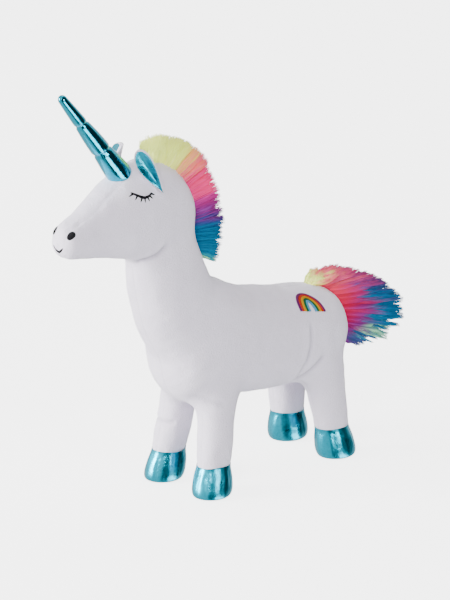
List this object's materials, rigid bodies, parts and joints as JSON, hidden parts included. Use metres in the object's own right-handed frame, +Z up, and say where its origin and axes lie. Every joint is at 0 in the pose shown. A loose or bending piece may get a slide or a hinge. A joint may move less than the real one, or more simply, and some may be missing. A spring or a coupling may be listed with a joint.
{
  "type": "plush toy unicorn",
  "caption": "Stuffed toy unicorn standing on stubby legs, with shiny foil hooves and horn, a rainbow fur mane and tail, a stitched sleeping eye and a rainbow on its flank.",
  "frame": {"origin": "middle of the bounding box's footprint, on the floor the hooves stand on", "axes": "+Z up, -Y the way the nose points, +X towards the unicorn's own left side"},
  "size_m": [0.0898, 0.3928, 0.3832],
  "materials": {
    "plush": "short-pile plush, matt",
    "filling": "polyester fibre filling",
    "thread_violet": "satin stitch",
    "thread_red": "satin stitch",
    "thread_yellow": "satin stitch",
    "thread_green": "satin stitch",
    "thread_blue": "satin stitch",
    "foil": "metallic foil cloth, shiny",
    "thread_black": "satin stitch",
    "thread_teal": "sewing thread",
    "tape": "woven cotton tape",
    "mane_fur_pink": "long-pile fur, yellow to hot pink",
    "mane_fur_blue": "long-pile fur, violet to blue",
    "tail_fur": "long-pile fur, pink, violet and blue"
  },
  "bodies": {
    "torso": {"torso_left_panel": "plush", "torso_right_panel": "plush", "belly_panel": "plush", "torso_stuffing": "filling", "rainbow_violet_band": "thread_violet", "rainbow_red_band": "thread_red", "rainbow_yellow_band": "thread_yellow", "rainbow_green_band": "thread_green", "rainbow_blue_band": "thread_blue", "tail_tape": "tape"},
    "neck": {"neck_left_panel": "plush", "neck_right_panel": "plush", "neck_stuffing": "filling", "mane_tape_lower": "tape", "mane_fur_lower": "mane_fur_blue"},
    "head": {"head_left_panel": "plush", "head_right_panel": "plush", "forehead_gusset": "plush", "head_stuffing": "filling", "eye_left": "thread_black", "nostril_left": "thread_black", "eye_right": "thread_black", "nostril_right": "thread_black", "mouth_stitch": "thread_black", "mane_tape_upper": "tape", "mane_fur_upper": "mane_fur_pink"},
    "horn": {"horn_cover": "foil", "horn_stuffing": "filling", "horn_thread_lower": "thread_teal", "horn_thread_upper": "thread_teal"},
    "ear_left": {"ear_left_back": "plush", "ear_left_lining": "foil"},
    "ear_right": {"ear_right_back": "plush", "ear_right_lining": "foil"},
    "tail": {"tail_fur": "tail_fur"},
    "leg_front_left": {"leg_front_left_outer_panel": "plush", "leg_front_left_inner_panel": "plush", "leg_front_left_stuffing": "filling", "hoof_front_left_band": "foil", "hoof_front_left_sole": "foil"},
    "leg_front_right": {"leg_front_right_outer_panel": "plush", "leg_front_right_inner_panel": "plush", "leg_front_right_stuffing": "filling", "hoof_front_right_band": "foil", "hoof_front_right_sole": "foil"},
    "leg_rear_left": {"leg_rear_left_outer_panel": "plush", "leg_rear_left_inner_panel": "plush", "leg_rear_left_stuffing": "filling", "hoof_rear_left_band": "foil", "hoof_rear_left_sole": "foil"},
    "leg_rear_right": {"leg_rear_right_outer_panel": "plush", "leg_rear_right_inner_panel": "plush", "leg_rear_right_stuffing": "filling", "hoof_rear_right_band": "foil", "hoof_rear_right_sole": "foil"}
  },
  "joints": [
    {"name": "neck_nod", "type": "hinge", "parent": "torso", "child": "neck", "pos_m": [0, -0.05383, 0.165], "axis": [1, 0, 0], "range_deg": [-8, 10], "stiffness_Nm_per_rad": 4},
    {"name": "head_turn", "type": "hinge", "parent": "neck", "child": "head", "pos_m": [0, -0.07504, 0.22326], "axis": [0, -0.342, 0.9397], "range_deg": [-25, 25], "stiffness_Nm_per_rad": 1},
    {"name": "leg_front_left_swing", "type": "hinge", "parent": "torso", "child": "leg_front_left", "pos_m": [0, -0.03183, 0.084], "axis": [1, 0, 0], "range_deg": [-15, 15], "stiffness_Nm_per_rad": 2},
    {"name": "leg_front_right_swing", "type": "hinge", "parent": "torso", "child": "leg_front_right", "pos_m": [0, -0.03183, 0.084], "axis": [1, 0, 0], "range_deg": [-15, 15], "stiffness_Nm_per_rad": 2},
    {"name": "leg_rear_left_swing", "type": "hinge", "parent": "torso", "child": "leg_rear_left", "pos_m": [0, 0.08817, 0.084], "axis": [1, 0, 0], "range_deg": [-15, 15], "stiffness_Nm_per_rad": 2},
    {"name": "leg_rear_right_swing", "type": "hinge", "parent": "torso", "child": "leg_rear_right", "pos_m": [0, 0.08817, 0.084], "axis": [1, 0, 0], "range_deg": [-15, 15], "stiffness_Nm_per_rad": 2},
    {"name": "horn_flex", "type": "hinge", "parent": "head", "child": "horn", "pos_m": [0, -0.12675, 0.30135], "axis": [1, 0, 0], "range_deg": [-12, 12], "stiffness_Nm_per_rad": 0.4},
    {"name": "ear_left_fold", "type": "hinge", "parent": "head", "child": "ear_left", "pos_m": [0.02766, -0.10284, 0.28684], "axis": [0.614, 0.6358, 0.4677], "range_deg": [0, 30], "stiffness_Nm_per_rad": 0.08},
    {"name": "ear_right_fold", "type": "hinge", "parent": "head", "child": "ear_right", "pos_m": [-0.02766, -0.10284, 0.28684], "axis": [0.614, -0.6358, -0.4677], "range_deg": [0, 30], "stiffness_Nm_per_rad": 0.08},
    {"name": "tail_wag", "type": "hinge", "parent": "torso", "child": "tail", "pos_m": [0, 0.12417, 0.11], "axis": [0, 0, 1], "range_deg": [-25, 25], "stiffness_Nm_per_rad": 0.1}
  ]
}
